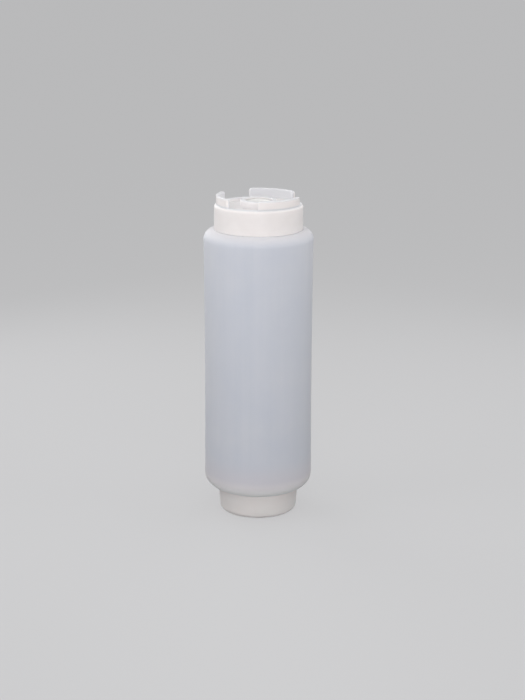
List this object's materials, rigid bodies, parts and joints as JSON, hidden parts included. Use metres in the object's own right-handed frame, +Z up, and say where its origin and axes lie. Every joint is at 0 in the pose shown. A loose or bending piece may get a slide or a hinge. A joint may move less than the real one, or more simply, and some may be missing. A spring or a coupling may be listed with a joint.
{
  "type": "condiment squeeze bottle",
  "caption": "Cylindrical translucent squeeze bottle standing on its screw-on refill cap, with a guarded screw-on dispensing cap that holds a dished silicone valve on top.",
  "frame": {"origin": "centre of the foot: the point on the bottle's axis at the height of the refill cap's standing ring", "axes": "+Z up along the bottle's axis, from the refill cap to the dispensing cap; +X to the right and +Y away from the camera in the picture's view, which fixes where the three guard segments stand"},
  "size_m": [0.0702, 0.0702, 0.2095],
  "materials": {
    "milky_bottle_plastic": "satin, milky translucent low-density polyethylene, cool white",
    "white_cap_plastic": "satin moulded polypropylene, warm white, slightly translucent at its thin edges",
    "translucent_silicone": "soft satin, translucent silicone",
    "ring_plastic": "satin moulded polypropylene, warm white",
    "gasket_rubber": "matt, pale grey-white sealing elastomer",
    "refill_cap_plastic": "satin moulded polypropylene, warm white"
  },
  "bodies": {
    "bottle": {"bottle": "milky_bottle_plastic"},
    "dispensing_gasket": {"dispensing_gasket": "gasket_rubber"},
    "dispensing_cap": {"dispensing_cap": "white_cap_plastic", "silicone_valve": "translucent_silicone", "valve_retainer": "ring_plastic"},
    "refill_gasket": {"refill_gasket": "gasket_rubber"},
    "refill_cap": {"refill_cap": "refill_cap_plastic"}
  },
  "joints": [
    {"name": "dispensing_cap_lift", "type": "slide", "parent": "bottle", "child": "dispensing_gasket", "axis": [0, 0, 1], "range_m": [0, 0.01275]},
    {"name": "dispensing_cap_turn", "type": "hinge", "parent": "dispensing_gasket", "child": "dispensing_cap", "pos_m": [0, 0, 0.1983], "axis": [0, 0, 1], "range_deg": [0, 1080]},
    {"name": "refill_cap_drop", "type": "slide", "parent": "bottle", "child": "refill_gasket", "axis": [0, 0, -1], "range_m": [0, 0.01275]},
    {"name": "refill_cap_turn", "type": "hinge", "parent": "refill_gasket", "child": "refill_cap", "pos_m": [0, 0, 0.0044], "axis": [0, 0, -1], "range_deg": [0, 1080]}
  ],
  "couplings": [
    {"joint": "dispensing_cap_lift", "follows": "dispensing_cap_turn", "m_per_rad": 0.00067375},
    {"joint": "refill_cap_drop", "follows": "refill_cap_turn", "m_per_rad": 0.00067375}
  ]
}
